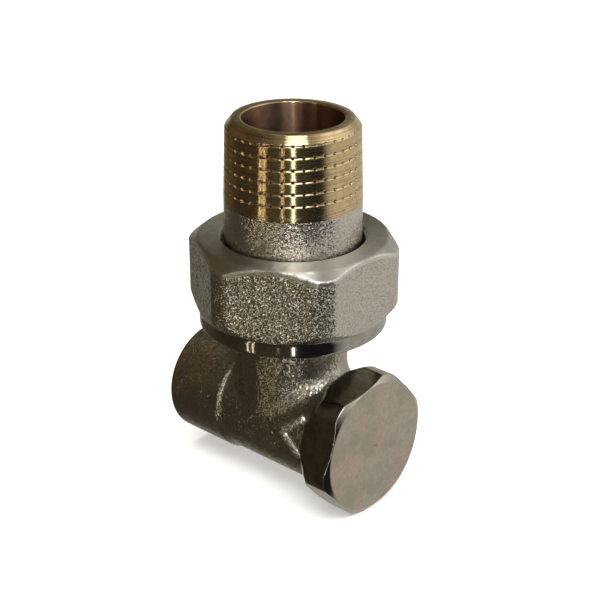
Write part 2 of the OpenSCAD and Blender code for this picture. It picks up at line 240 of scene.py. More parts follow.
def make_world():
    """Dark in front of the object, pale to its right, as in a corner with a pale wall and a window."""
    world = bpy.data.worlds.new("studio")
    bpy.context.scene.world = world
    world.use_nodes = True
    t = Tree(world.node_tree)
    out = t.node("ShaderNodeOutputWorld")
    coord = t.node("ShaderNodeTexCoord")
    turn = t.node("ShaderNodeVectorRotate", rotation_type="Z_AXIS")
    t.link(coord.outputs["Generated"], turn.inputs["Vector"])
    turn.inputs["Angle"].default_value = -FACING
    x, y, z = t.split(turn.outputs[0])
    place = t.math("MULTIPLY_ADD", t.math("ARCTAN2", y, x), 0.5 / math.pi, 0.5)
    low, high = [t.ramp(place, [((azimuth + 180) / 360, colour) for azimuth, colour in sky])
                 for sky in (LOW_SKY, HIGH_SKY)]
    colour = t.mix(t.step(z, HIGH_FROM, HIGH_FULL), low, high)
    colour = t.mix(t.step(z, CEILING_FROM, CEILING_FULL), colour, CEILING)
    seen = t.node("ShaderNodeLightPath")
    colour = t.mix(seen.outputs["Is Camera Ray"], colour, BACKDROP)
    shader = t.node("ShaderNodeBackground")
    t.link(colour, shader.inputs[0])
    t.link(shader.outputs[0], out.inputs[0])


make_world()

LAMP_DISTANCE, LAMP_AIM_Z = 0.6, 0.03        # in metres
GLOW, AMBER = (1.0, 0.93, 0.84), (1.0, 0.86, 0.62)
# Name, azimuth to the right of the camera's, elevation, width and length in metres, colour, radiance, tilt
LAMPS = [("strip_front", 0.5, 8, 0.016, 1.0, (1.0, 0.94, 0.90), 9.5, 0),
         ("strip_glow", 0.5, 8, 0.042, 1.0, GLOW, 1.8, 0),
         ("strip_middle", -17, 8, 0.009, 0.8, (1.0, 0.90, 0.66), 4.5, 0),
         ("strip_left_a", -46.5, -6, 0.007, 0.9, AMBER, 6.5, -7),
         ("strip_left_b", -53.5, -6, 0.007, 0.9, AMBER, 6.5, -7),
         ("overhead", 8, 50, 0.30, 0.13, (0.94, 0.97, 1.0), 9.5, 0),
         ("top_soft", 20, 75, 0.8, 0.8, (1.0, 0.98, 0.95), 3.2, 0)]


def make_lamp(name, azimuth, elevation, width, length, colour, radiance, tilt):
    """A soft rectangular light that faces the tailpiece's axis."""
    a, e, turn = FACING + math.radians(azimuth), math.radians(elevation), math.radians(tilt)
    out = Vector((math.cos(a) * math.cos(e), math.sin(a) * math.cos(e), math.sin(e)))
    data = bpy.data.lights.new(name, "AREA")
    data.shape = "RECTANGLE"
    data.size, data.size_y = width, length
    data.color = colour
    data.energy = radiance * math.pi * width * length
    lamp = link_object(name, data)
    side = Vector((0, 0, 1)).cross(out).normalized()
    up = out.cross(side)
    tilted_side = side * math.cos(turn) + up * math.sin(turn)
    tilted_up = up * math.cos(turn) - side * math.sin(turn)
    place = Vector((TAIL_X * MM, 0, LAMP_AIM_Z)) + out * LAMP_DISTANCE
    lamp.matrix_world = axes_matrix(tilted_side, tilted_up, out, place)


for row in LAMPS:
    make_lamp(*row)
bpy.data.objects["top_soft"].visible_glossy = False      # it only fills in, and the metal doesn't mirror it


# Floor
FLOOR_RINGS, FLOOR_SIDES, FLOOR_DROP = (200.0, 500.0, 1200.0, 4000.0), 64, 0.02


def make_floor():
    """A pale disc just below the part."""
    z = cad_box[0].z / MM - FLOOR_DROP
    points = [(TAIL_X, 0.0, z)]
    turns = [i * math.tau / FLOOR_SIDES for i in range(FLOOR_SIDES)]
    for r in FLOOR_RINGS:
        points += [(TAIL_X + r * math.cos(a), r * math.sin(a), z) for a in turns]
    sides = [(i, (i + 1) % FLOOR_SIDES) for i in range(FLOOR_SIDES)]
    faces = [(0, 1 + i, 1 + n) for i, n in sides]
    for k in range(len(FLOOR_RINGS) - 1):
        inner, outer = 1 + k * FLOOR_SIDES, 1 + (k + 1) * FLOOR_SIDES
        faces += [(inner + i, outer + i, outer + n, inner + n) for i, n in sides]
    floor = mesh_object("floor", points, faces)
    mat = bpy.data.materials.new("floor")
    mat.use_nodes = True
    t = Tree(mat.node_tree)
    out = t.node("ShaderNodeOutputMaterial")
    shader = t.node("ShaderNodeBsdfPrincipled")
    shader.inputs["Base Color"].default_value = (0.86, 0.86, 0.855, 1)
    shader.inputs["Roughness"].default_value = 0.9
    shader.inputs["Emission Color"].default_value = (1, 1, 0.99, 1)
    shader.inputs["Emission Strength"].default_value = 0.40
    t.link(shader.outputs[0], out.inputs[0])
    floor.data.materials.append(mat)
    floor.visible_glossy = False
    floor.visible_shadow = False


make_floor()


# Materials. Each look is a function of (tree, position in millimetres, shader).
# Clouds are a noise's (scale, detail, roughness, seed).
def metal(name, look, metallic=1.0):
    mat = bpy.data.materials.new(name)
    mat.use_nodes = True
    t = Tree(mat.node_tree)
    out = t.node("ShaderNodeOutputMaterial")
    shader = t.node("ShaderNodeBsdfPrincipled")
    t.link(shader.outputs[0], out.inputs[0])
    shader.inputs["Metallic"].default_value = metallic
    coord = t.node("ShaderNodeTexCoord")
    look(t, t.vector("SCALE", coord.outputs["Object"], 1 / MM), shader)
    return mat


def tool_rings(t, shader, amount):
    """Turned metal: the tool's rings spread a light along the axis, so the highlight runs across them."""
    tangent = t.node("ShaderNodeTangent", direction_type="RADIAL", axis="Z")
    t.link(tangent.outputs[0], shader.inputs["Tangent"])
    shader.inputs["Anisotropic"].default_value = amount
    shader.inputs["Anisotropic Rotation"].default_value = 0.25


def plain(colour, rough):
    """One colour with a very fine grain."""
    def look(t, p, shader):
        shader.inputs["Base Color"].default_value = (*colour, 1.0)
        shader.inputs["Roughness"].default_value = rough
        t.bump(t.noise(p, 14.0, 2.0, 0.5, 1.0), shader, 0.004)
    return look


def cloudy(dark, light, clouds, low, high, rough, rings=0.0, relief=0.0):
    """Wanders between two shades as its clouds pass from low to high, with a tool's rings or a faint
    relief if asked."""
    def look(t, p, shader):
        soft = t.noise(p, *clouds)
        t.link(t.mix(t.step(soft, low, high), dark, light), shader.inputs["Base Color"])
        shader.inputs["Roughness"].default_value = rough
        if rings:
            tool_rings(t, shader, rings)
        if relief:
            t.bump(soft, shader, relief)
    return look


# Painted warm reflection on the barrel's upper side near the pipe end: its clouds, colour and reach.
DULL_PATCHES, SHEEN_CLOUDS = (0.30, 3.0, 0.6, 7.0), (0.25, 3.0, 0.6, 2.0)
PAINTED_WARM_SHEEN = (0.66, 0.50, 0.27)
SHEEN_FULL_X, SHEEN_END_X, SHEEN_FROM_Z, SHEEN_FULL_Z = 3.0, 10.0, -1.0, 4.0


def blasted(facet, lean, dark, light, rough=0.25, tint_clouds=None):
    """Blasted plating: each tiny facet leans its own way, with duller patches between. A warm tint, as a
    function of (tree, position), paints a warm reflection on it."""
    def look(t, p, shader):
        cell = t.node("ShaderNodeTexVoronoi", feature="F1")
        t.link(p, cell.inputs["Vector"])
        cell.inputs["Scale"].default_value = 1.0 / facet
        own_way = t.vector("SUBTRACT", cell.outputs["Color"], (0.5, 0.5, 0.5))
        patches = t.noise(p, *DULL_PATCHES)
        strength = t.math("MULTIPLY_ADD", t.step(patches, 0.3, 0.7), 0.25, 0.85)
        leaning = t.vector("SCALE", own_way, t.math("MULTIPLY", strength, lean))
        geometry = t.node("ShaderNodeNewGeometry")
        total = t.vector("ADD", geometry.outputs["Normal"], leaning)
        t.link(t.vector("NORMALIZE", total), shader.inputs["Normal"])
        own_tone = t.split(cell.outputs["Color"])[1]
        tone = t.math("MULTIPLY_ADD", own_tone, 0.75, t.math("MULTIPLY", patches, 0.2))
        colour = t.mix(tone, dark, light)
        if tint_clouds:
            colour = t.mix(tint_clouds(t, p), colour, PAINTED_WARM_SHEEN)
        t.link(colour, shader.inputs["Base Color"])
        t.link(t.math("MULTIPLY_ADD", patches, 0.08, rough - 0.04), shader.inputs["Roughness"])
    return look


def pipe_end_sheen(t, p):
    """Clouds of painted warm reflection on the upper side of the barrel, near the pipe end."""
    x, y, z = t.split(p)
    near_end = t.math("SUBTRACT", 1.0, t.step(x, SHEEN_FULL_X, SHEEN_END_X))
    clouds = t.step(t.noise(p, *SHEEN_CLOUDS), 0.42, 0.62)
    upper = t.math("MULTIPLY", t.step(z, SHEEN_FROM_Z, SHEEN_FULL_Z), 0.8)
    return t.math("MULTIPLY", t.math("MULTIPLY", near_end, clouds), upper)


def matt_face(t, p, shader):
    """The cap's front: matt, with faint pinkish and olive clouds."""
    pink = t.noise(p, 0.17, 3.0, 0.55, 4.0)
    olive = t.noise(p, 0.22, 4.0, 0.6, 9.0)
    fine = t.noise(p, 1.8, 5.0, 0.75, 5.0)
    colour = t.mix(t.step(pink, 0.38, 0.60), (0.55, 0.51, 0.425), (0.60, 0.465, 0.39))
    colour = t.mix(t.step(olive, 0.43, 0.64), colour, (0.43, 0.415, 0.33))
    colour = t.mix(t.math("MULTIPLY", t.step(fine, 0.36, 0.64), 0.6), colour, (0.39, 0.355, 0.29))
    t.link(colour, shader.inputs["Base Color"])
    shader.inputs["Roughness"].default_value = 0.34
    t.bump(fine, shader, 0.006)


def brass_cut(t, p, shader):
    """Bare brass, freshly cut: slightly stained, with fine lines left by the tool."""
    tint_clouds = t.noise(p, 0.9, 3.0, 0.6, 14.0)
    lines = t.noise(t.vector("MULTIPLY", p, (0.06, 0.06, 8.0)), 1.0, 3.0, 0.7, 3.0)
    colour = t.mix(t.step(tint_clouds, 0.35, 0.7), (0.66, 0.505, 0.265), (0.82, 0.665, 0.385))
    colour = t.mix(t.step(lines, 0.45, 0.64), colour, (0.50, 0.355, 0.20))
    t.link(colour, shader.inputs["Base Color"])
    shader.inputs["Roughness"].default_value = 0.18
    t.bump(lines, shader, 0.006)
    tool_rings(t, shader, 0.95)


# Nickel plating: blasted and turned
NUT_BLASTED = metal("nut_blasted", blasted(0.145, 0.63, (0.49, 0.47, 0.405), (0.72, 0.69, 0.605)))
# The body's plating is painted darker than the nut's, though it is the same nickel: painted shade for the
# darker surroundings it mirrors.
BODY_BLASTED_SHADED = metal("body_blasted_shaded",
                     blasted(0.15, 0.44, (0.34, 0.32, 0.26), (0.54, 0.51, 0.435), tint_clouds=pipe_end_sheen))
NECK = metal("neck_blasted", blasted(0.155, 0.50, (0.54, 0.51, 0.45), (0.80, 0.76, 0.69)))
# The nut's top edge is painted brighter than its flats: partly wear, partly a painted highlight.
EDGE_WEAR_AND_HIGHLIGHT = metal("worn_edge_and_highlight", blasted(0.17, 0.30, (0.62, 0.595, 0.54), (0.80, 0.77, 0.71), 0.30))
# The forged arrow is painted brighter than the body: partly wear on its ridge, partly a painted glint.
MARK = metal("raised_mark", blasted(0.15, 0.62, (0.60, 0.57, 0.51), (0.84, 0.80, 0.73), 0.26))
TURNED = metal("turned_nickel", cloudy((0.60, 0.575, 0.515), (0.71, 0.68, 0.62),
                                       (0.7, 3.0, 0.6, 4.0), 0.3, 0.7, rough=0.36, rings=0.9))
# The nut's skirt and inside are painted darker than its turned top, though it is the same nickel: painted
# shade.
SKIRT_SHADED = metal("skirt_nickel_shaded", cloudy((0.38, 0.36, 0.32), (0.45, 0.43, 0.39),
                                     (0.5, 2.0, 0.5, 4.0), 0.3, 0.7, rough=0.12, rings=0.8))
# The cap's sides are painted darker than its chamfers, though both are the same nickel: painted shade on
# the sides, a painted highlight on the chamfers.
POLISHED_SHADED = metal("polished_nickel_shaded", cloudy((0.26, 0.235, 0.19), (0.39, 0.355, 0.30),
                                           (0.6, 4.0, 0.65, 4.0), 0.36, 0.64, rough=0.17, relief=0.006))
CAP_EDGE_LIT = metal("cap_edge_lit", cloudy((0.44, 0.415, 0.36), (0.53, 0.50, 0.44),
                                    (0.5, 2.0, 0.5, 4.0), 0.3, 0.7, rough=0.12, relief=0.003))
FACE = metal("matt_face", matt_face)

# Brass: cut, and darker copies of it for the rolled grooves, their pits and the bore: painted shade
BRASS_CUT = metal("brass_cut", brass_cut)
# The grooves' brass is painted darker and less golden than the cut brass: painted shade in the grooves.
BRASS_GROOVE_SHADE = metal("brass_groove_shade", cloudy((0.56, 0.43, 0.25), (0.74, 0.61, 0.40),
                                            (1.5, 3.0, 0.6, 14.0), 0.35, 0.7, rough=0.25, rings=0.5))
# The pits are painted dark: painted shade in the pits.
BRASS_PIT_SHADE = metal("brass_pit_shade", cloudy((0.30, 0.23, 0.15), (0.50, 0.42, 0.30),
                                      (1.5, 3.0, 0.6, 14.0), 0.35, 0.7, rough=0.12))
# The bore's brass is painted far darker than the cut brass: painted shade down the bore.
BRASS_BORE_SHADE = metal("brass_bore_shade", cloudy((0.28, 0.165, 0.11), (0.37, 0.225, 0.155),
                                        (0.6, 3.0, 0.6, 14.0), 0.35, 0.7, rough=0.33, rings=1.0))
BRASS_TURNED = metal("brass_turned", plain((0.78, 0.55, 0.25), 0.2))

STEEL = metal("steel", plain((0.6, 0.6, 0.6), 0.3))
RUBBER = metal("rubber", plain((0.02, 0.02, 0.02), 0.6), metallic=0.0)
FIBRE = metal("fibre", plain((0.35, 0.10, 0.06), 0.7), metallic=0.0)


# Turned shapes
def upright(x, y, h):
    """From a lathe's frame to the tailpiece's axis."""
    return x + TAIL_X, y, h


def lying(x, y, h):
    """From a lathe's frame to the barrel's axis."""
    return h, y, -x


class Lathe:
    """Rings of points about an axis, joined into one skin. Going up on the outside makes it face outwards.
    A mark is the number of a face's material."""

    def __init__(self, angles):
        self.angles = angles
        self.points, self.faces, self.marks = [], [], []
        self.first, self.last = None, None

    def add(self, radii, heights, mark=0):
        """One ring; radii and heights are numbers, or lists with one value for each angle."""
        count = len(self.angles)
        radii = radii if isinstance(radii, list) else [radii] * count
        heights = heights if isinstance(heights, list) else [heights] * count
        start = len(self.points)
        for r, h, a in zip(radii, heights, self.angles):
            self.points.append((r * math.cos(a), r * math.sin(a), h))
        self.join(list(range(start, start + count)), mark)

    def add_columns(self, columns, mark):
        """Rings from one list of (radius, height) for each angle."""
        for row in zip(*columns):
            self.add([r for r, h in row], [h for r, h in row], mark)

    def join(self, ring, mark):
        if self.last is None:
            self.first = ring
        else:
            count = len(ring)
            for j in range(count):
                n = (j + 1) % count
                self.faces.append((self.last[j], self.last[n], ring[n], ring[j]))
                self.marks.append(mark)
        self.last = ring

    def profile(self, points, mark=0):
        for r, h in points:
            self.add(r, h, mark)

    def close(self, mark):
        """Joins the last ring to the first."""
        self.join(self.first, mark)

    def cap_ends(self):
        self.faces += [tuple(self.first[::-1]), tuple(self.last)]
        self.marks += [0, 0]

    def thread(self, low, high, pitch, phase, rows, radius, mark=0, down=False, look=None):
        """A screw thread between two heights. rows are the heights of its points within one turn, and phase
        is a height at which the first of them lies. radius(column, row, height) is called on every point,
        and look(column, row), if given, says each face's mark."""
        count, per = len(self.angles), len(rows)
        turns = int((high - low) / pitch) + 4
        base = phase - pitch * (math.ceil((phase - low) / pitch) + 1)
        columns = []
        for j, a in enumerate(self.angles):
            column, before = [], None
            for k in range(per * turns):
                h = base + pitch * (k // per) + rows[k % per] + pitch * j / count
                h = min(max(h, low), high)
                if h != before:
                    r = radius(j, rows[k % per], h)
                    self.points.append((r * math.cos(a), r * math.sin(a), h))
                    before = h
                column.append(len(self.points) - 1)
            columns.append(column)
        bottom, top = [column[0] for column in columns], [column[-1] for column in columns]
        self.join(top if down else bottom, mark)
        for j in range(count):
            here = columns[j]
            beside = columns[j + 1] if j + 1 < count else columns[0][per:] + [columns[0][-1]] * per
            for k in range(per * turns - 1):
                corners = []
                for c in (here[k], beside[k], beside[k + 1], here[k + 1]):
                    if c not in corners:
                        corners.append(c)
                if len(corners) > 2:
                    self.faces.append(corners[::-1] if down else corners)
                    self.marks.append(look(j, rows[k % per]) if look else mark)
        self.last = bottom if down else top

    def build(self, name, place, materials=(), sharp=34):
        obj = mesh_object(name, [place(*p) for p in self.points], self.faces)
        for material in materials:
            obj.data.materials.append(material)
        for face, mark in zip(obj.data.polygons, self.marks):
            face.material_index = mark
        shade(obj, sharp)
        return obj


def around(count, start=0.0):
    return [start + i * math.tau / count for i in range(count)]


V_ROWS = (0.0, 0.1, 0.18, 0.26, 0.36, 0.5, 0.64, 0.74, 0.82, 0.9)     # in pitches


def v_thread(lathe, low, high, pitch, phase, root, crest, fade_low, mark=0, down=False):
    """A plain V thread that fades out at its ends."""
    def radius(column, row, h):
        fade = smooth((h - fade_low) / (0.7 * pitch)) * smooth((high - h) / (0.7 * pitch))
        across = abs(row / pitch - 0.5) * 2
        return root + (crest - root) * fade * smooth((0.85 - across) / 0.7)
    lathe.thread(low, high, pitch, phase, [v * pitch for v in V_ROWS], radius, mark, down)


# Tailpiece
TAIL_TOP, RIM_R, RIM_CHAMFER = 49.3, 9.2, 1.3
NECK_R, THREAD_END_Z = 10.5975, 36.5         # the bare brass ends at this height
GAUGE_R, GAUGE_DROP, TAPER = 20.955 / 2, 8.2, 32      # the taper thread's radius at its gauge plane
FLANGE_Z, FLANGE_TOP_Z, FLANGE_R = 25.0, 27.7, 11.8975
SPIGOT_R, SPIGOT_Z = 9.75, 21.5
RING_Z, RING_HALF = FLANGE_Z - 1.75, 0.72    # the sealing ring's groove
RING_FLOOR_R = SPIGOT_R + 0.08 - 0.6 - 0.62
TAIL_COLUMNS = 480
TAIL_ROWS = (0.0, 0.06, 0.12, 0.18, 0.24, 0.32, 0.45, 0.58, 0.70, 0.83, 0.96, 1.08, 1.21, 1.34, 1.46, 1.57,
             1.64, 1.70, 1.76)
GROOVE_HALF, GROOVE_DEPTH = 0.17, 0.12
PIT_EVERY, PIT_COLUMNS = 12, 1.7             # columns from pit to pit, and half a pit's width in columns
PIT_HALF, PIT_DEPTH, PIT_RISE = 0.22, 0.42, 0.06
WAVE, WAVES = 0.012, 4                       # a faint ripple of the lands, and how many to a pitch


def crest_r(z):
    return GAUGE_R + ((TAIL_TOP - z) - GAUGE_DROP) / TAPER


def outline_r(z):
    """Outside of the tailpiece without its thread, from the neck to the rim."""
    rim = RIM_R + (TAIL_TOP - z) * (crest_r(TAIL_TOP - RIM_CHAMFER) - RIM_R) / RIM_CHAMFER
    neck = lerp(NECK_R, crest_r(z), smooth((z - THREAD_END_Z) / 0.5))
    return soft_min(neck, rim, 0.05)


def tail_radius(column, row, z):
    """Radius of the threaded part, with its groove and the pits in the groove."""
    fade = smooth((z - (THREAD_END_Z + 0.7)) / 1.2) * smooth((TAIL_TOP - 1.0 - z) / 0.6)
    away = min(row, PITCH - row)
    r = outline_r(z) + WAVE * math.cos(row / PITCH * math.tau * WAVES) * fade
    if away < GROOVE_HALF:
        r -= GROOVE_DEPTH * (1 - away / GROOVE_HALF) * fade
    sideways = abs((column + PIT_EVERY // 2) % PIT_EVERY - PIT_EVERY // 2) / PIT_COLUMNS
    upwards = abs((row if row < PITCH / 2 else row - PITCH) - PIT_RISE) / PIT_HALF
    if sideways < 1 and upwards < 1:
        r -= PIT_DEPTH * (1 - upwards ** 2) * (1 - sideways ** 2) * fade
    return r


def make_tail():
    brass, neck, bore, groove, pit = 0, 1, 2, 3, 4

    def look(column, row):
        if GROOVE_HALF <= row < PITCH - GROOVE_HALF:
            return brass
        return pit if (column + 1) % PIT_EVERY < 2 else groove

    tail = Lathe(around(TAIL_COLUMNS, FACING))
    # up the outside: spigot with the ring's groove, flange, neck
    tail.profile([(BORE_R + 0.2, SPIGOT_Z), (SPIGOT_R - 0.4, SPIGOT_Z), (SPIGOT_R, SPIGOT_Z + 0.4),
                  (SPIGOT_R, RING_Z - RING_HALF), (RING_FLOOR_R, RING_Z - RING_HALF),
                  (RING_FLOOR_R, RING_Z + RING_HALF), (SPIGOT_R, RING_Z + RING_HALF),
                  (SPIGOT_R, FLANGE_Z), (FLANGE_R, FLANGE_Z), (FLANGE_R, FLANGE_TOP_Z - 0.3),
                  (FLANGE_R - 0.09, FLANGE_TOP_Z - 0.09), (FLANGE_R - 0.3, FLANGE_TOP_Z),
                  (NECK_R + 0.3, FLANGE_TOP_Z), (NECK_R + 0.1, FLANGE_TOP_Z + 0.08),
                  (NECK_R, FLANGE_TOP_Z + 0.3), (NECK_R, 31.0), (NECK_R, 34.0),
                  (NECK_R, THREAD_END_Z - 0.1)], neck)
    tail.thread(THREAD_END_Z, TAIL_TOP - 0.12, PITCH, GROOVE_Z, TAIL_ROWS, tail_radius, brass, look=look)
    # over the rim and down the bore
    tail.profile([(RIM_R + 0.05, TAIL_TOP - 0.05), (RIM_R - 0.06, TAIL_TOP), (BORE_R + 0.30, TAIL_TOP),
                  (BORE_R + 0.12, TAIL_TOP - 0.03), (BORE_R + 0.03, TAIL_TOP - 0.12),
                  (BORE_R, TAIL_TOP - 0.25)], brass)
    tail.profile([(BORE_R, z) for z in (45.0, 40.0, 35.0, 30.0, 25.0, SPIGOT_Z + 0.2)], bore)
    tail.close(bore)
    obj = tail.build("tail_threaded", upright, (BRASS_CUT, NECK, BRASS_BORE_SHADE, BRASS_GROOVE_SHADE, BRASS_PIT_SHADE), 38)
    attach(obj, "tail")
    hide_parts("tailpiece")


make_tail()


# Hexagons with turned corners
EVEN_STEP, EVEN_CLEAR, SECTOR_END = 0.75, 2.3, 29.6
FINE_STEPS = (-1.9, -1.4, -0.95, -0.6, -0.3, 0.0, 0.3, 0.6, 0.95, 1.4, 1.9)


def hex_angles(flat_r, round_r, turn):
    """Even columns for a hexagon, with finer ones where a flat meets a round corner."""
    edge = math.degrees(math.acos(flat_r / round_r))
    even = [EVEN_STEP * k for k in range(40)]
    half = [edge + v for v in FINE_STEPS] + [v for v in even if abs(v - edge) > EVEN_CLEAR]
    half = sorted(round(v, 3) for v in half if v < SECTOR_END)
    sector = [-v for v in half[:0:-1]] + half + [30.0]
    return [turn + math.radians(60 * k + v) for k in range(6) for v in sector]


def hex_radii(angles, flat_r, round_r, turn, soft):
    radii = []
    for a in angles:
        off = (a - turn + math.pi / 6) % (math.pi / 3) - math.pi / 6
        radii.append(soft_min(round_r, flat_r / math.cos(off), soft))
    return radii


def edge_round(corner, before, after, size, steps=4):
    """Points that round a corner of a profile. All three are (radius, height)."""
    def towards(p):
        length = math.hypot(p[0] - corner[0], p[1] - corner[1]) or 1.0
        s = min(size / length, 0.45)
        return corner[0] + (p[0] - corner[0]) * s, corner[1] + (p[1] - corner[1]) * s
    a, b = towards(before), towards(after)
    points = []
    for i in range(steps + 1):
        t = i / steps
        from_a, from_corner, from_b = (1 - t) ** 2, 2 * t * (1 - t), t * t
        points.append(tuple(from_a * a[k] + from_corner * corner[k] + from_b * b[k] for k in (0, 1)))
    return points


def between(a, b, shares):
    """Points at shares of the way from one (radius, height) to another."""
    return [(lerp(a[0], b[0], f), lerp(a[1], b[1], f)) for f in shares]


NUT_FLAT_R, NUT_ROUND_R = 14.85, 16.397
NUT_Z, NUT_HEX_Z, NUT_ROOF_Z, NUT_TOP = 16.4, 18.75, 27.8, 30.6
NUT_HOLE_R, NUT_BORE_R, NUT_THREAD_TOP, NUT_THREAD_DEPTH = 10.9975, 13.2475, 25.0, 0.7
NUT_CHAMFER, NUT_FOOT_RISE = 1.4, 1.5        # how far the corners are turned down, above and below


def make_nut():
    blasted_side, top, skirt, edge = 0, 1, 2, 3
    angles = hex_angles(NUT_FLAT_R, NUT_ROUND_R, 0.0)
    nut = Lathe(angles)
    # round the foot and up the skirt
    nut.profile([(NUT_BORE_R, NUT_Z + 0.5), (NUT_BORE_R + 0.5, NUT_Z), (NUT_FLAT_R - 0.5, NUT_Z),
                 (NUT_FLAT_R - 0.29, NUT_Z + 0.06), (NUT_FLAT_R - 0.2, NUT_Z + 0.2),
                 (NUT_FLAT_R - 0.17, NUT_Z + 0.5), (NUT_FLAT_R - 0.17, NUT_HEX_Z - 0.6),
                 (NUT_FLAT_R - 0.17, NUT_HEX_Z - 0.12), (NUT_FLAT_R - 0.14, NUT_HEX_Z - 0.04),
                 (NUT_FLAT_R - 0.08, NUT_HEX_Z)], skirt)
    # the hexagon: each column from the skirt over the flat to the top face
    start, end = (NUT_FLAT_R - 0.08, NUT_HEX_Z), (NUT_FLAT_R - 0.25, NUT_TOP)
    face_r = end[0]
    lower, middle, brow, slope = [], [], [], []
    for r in hex_radii(angles, NUT_FLAT_R, NUT_ROUND_R, 0.0, 0.07):
        reach = (r - NUT_FLAT_R) / (NUT_ROUND_R - NUT_FLAT_R)
        low = (r, NUT_HEX_Z + 0.1 + NUT_FOOT_RISE * max(reach, 0))
        high = (r, NUT_TOP - NUT_CHAMFER * (r - face_r) / (NUT_ROUND_R - face_r))
        lower.append(between(start, low, (0.15, 0.35, 0.5)) + edge_round(low, start, high, 0.22))
        middle.append(between((r, low[1] + 0.25), (r, high[1] - 0.35), (0.02, 0.25, 0.5, 0.75, 0.98)))
        brow.append(edge_round(high, low, end, 0.33, 5))
        slope.append(between(high, end, (0.45, 0.6, 0.8)))
    nut.add_columns(lower, blasted_side)
    nut.add_columns(middle, blasted_side)
    # the brow takes the brighter edge colour: wear and a painted highlight
    nut.add_columns(brow, edge)
    nut.add_columns(slope, top)
    # over the top face, through the hole round the neck and down the threaded inside
    nut.profile(edge_round(end, (face_r + 0.6, NUT_TOP - 0.4), (face_r - 1, NUT_TOP), 0.3), top)
    nut.profile([(13.4, NUT_TOP), (12.4, NUT_TOP)], top)
    hole_edge = (NUT_HOLE_R + 0.4, NUT_TOP)
    nut.profile(edge_round(hole_edge, (12.4, NUT_TOP), (NUT_HOLE_R, NUT_TOP - 0.4), 0.12), top)
    nut.profile([(NUT_HOLE_R, NUT_TOP - 0.4), (NUT_HOLE_R, NUT_ROOF_Z), (NUT_BORE_R, NUT_ROOF_Z),
                 (NUT_BORE_R, NUT_THREAD_TOP + 0.2)], skirt)
    v_thread(nut, NUT_Z + 1.0, NUT_THREAD_TOP, PITCH, GROOVE_Z, NUT_BORE_R, NUT_BORE_R + NUT_THREAD_DEPTH,
             NUT_Z + 1.0, skirt, down=True)
    nut.close(skirt)
    obj = nut.build("nut_hexagon", upright, (NUT_BLASTED, TURNED, SKIRT_SHADED, EDGE_WEAR_AND_HIGHLIGHT))
    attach(obj, "nut")
    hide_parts("union_nut")


make_nut()

CAP_FLAT_R, CAP_ROUND_R, CAP_FACE_R = 10.5467, 11.4467, 10.42
CAP_BACK, CAP_FRONT, CAP_ROOF = 30.3, 36.5, 35.1
CAP_SKIRT_R, CAP_SKIRT_X, CAP_THREAD_R = 9.2667, 32.0, 6.4994
CAP_CHAMFER, CAP_BACK_RISE, CAP_EASE = 0.58, 1.5, 0.15
CAP_TURN = math.radians(12.0)
DOT_R, DOT_DEPTH = 0.36, 0.13                # the mark of the lathe's centre on the cap's face


def make_cap():
    side, face, edge = 0, 1, 2
    angles = hex_angles(CAP_FLAT_R, CAP_ROUND_R, CAP_TURN)
    cap = Lathe(angles)
    # out of the recess in the back
    cap.profile([(CAP_SKIRT_R, CAP_SKIRT_X), (CAP_SKIRT_R, CAP_BACK + CAP_EASE),
                 (CAP_SKIRT_R + CAP_EASE, CAP_BACK), (CAP_FLAT_R - 0.2, CAP_BACK)], side)
    # the hexagon: each column from the back over the flat to the front face
    start, end = (CAP_FLAT_R - 0.2, CAP_BACK), (CAP_FACE_R, CAP_FRONT)
    back, front, slope = [], [], []
    for r in hex_radii(angles, CAP_FLAT_R, CAP_ROUND_R, CAP_TURN, 0.045):
        reach = max(r - CAP_FLAT_R - CAP_EASE, 0) / (CAP_ROUND_R - CAP_FLAT_R - CAP_EASE)
        low = (r, CAP_BACK + 0.05 + CAP_BACK_RISE * reach)
        high = (r, CAP_FRONT - CAP_CHAMFER * (r - CAP_FACE_R) / (CAP_ROUND_R - CAP_FACE_R))
        back.append(between(start, low, (0.5,)) + edge_round(low, start, high, 0.15))
        front.append(between((r, low[1] + 0.2), (r, high[1] - 0.2), (0.02, 0.33, 0.67, 0.98)))
        slope.append(edge_round(high, low, end, 0.10) + between(high, end, (0.3, 0.6, 0.85)))
    cap.add_columns(back, side)
    cap.add_columns(front, side)
    cap.add_columns(slope, edge)
    # across the front to the dot, then back out along the threaded inside
    cap.profile(edge_round(end, (CAP_FACE_R + 0.5, CAP_FRONT - 0.3), (9, CAP_FRONT), 0.07), face)
    cap.profile([(r, CAP_FRONT) for r in (9.6, 7.0, 4.0, 1.0, DOT_R)], face)
    cap.profile([(0.22, CAP_FRONT - 0.09), (0.05, CAP_FRONT - DOT_DEPTH), (0.05, CAP_ROOF),
                 (CAP_THREAD_R, CAP_ROOF)], face)
    cap.profile([(CAP_THREAD_R, 34.9), (CAP_THREAD_R, 32.3), (CAP_THREAD_R + 0.3, CAP_SKIRT_X)], side)
    cap.close(side)
    obj = cap.build("cap_hexagon", lying, (POLISHED_SHADED, FACE, CAP_EDGE_LIT))
    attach(obj, "cap")
    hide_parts("cap")


make_cap()


# Forging
BARREL_R, BARREL_END = 8.9, 30.2
COLLAR_R, COLLAR_END, COLLAR_FADE = 9.3, 11.55, 0.75     # thicker at the pipe end, and fading out
BRANCH_R, HEAD_Z = 8.65, 17.9
SADDLE_R, RIM_SOFT = 2.9, 0.5
VOXEL = 0.22
# An arrowhead forged on the barrel, as lines between places (along the barrel, angle up from its side)
ARROW = [((28.3, -6.0), (24.7, 12.5)), ((24.7, 12.5), (27.9, 31.0))]
MARK_R, MARK_SUNK, MARK_SOFT = 0.85, 0.42, 0.2


def soft_join(a, b, width):
    """Distance to two shapes together, with a blend of the given width between them."""
    f = np.clip(0.5 + 0.5 * (a - b) / width, 0, 1)
    return a * (1 - f) + b * f - width * f * (1 - f)


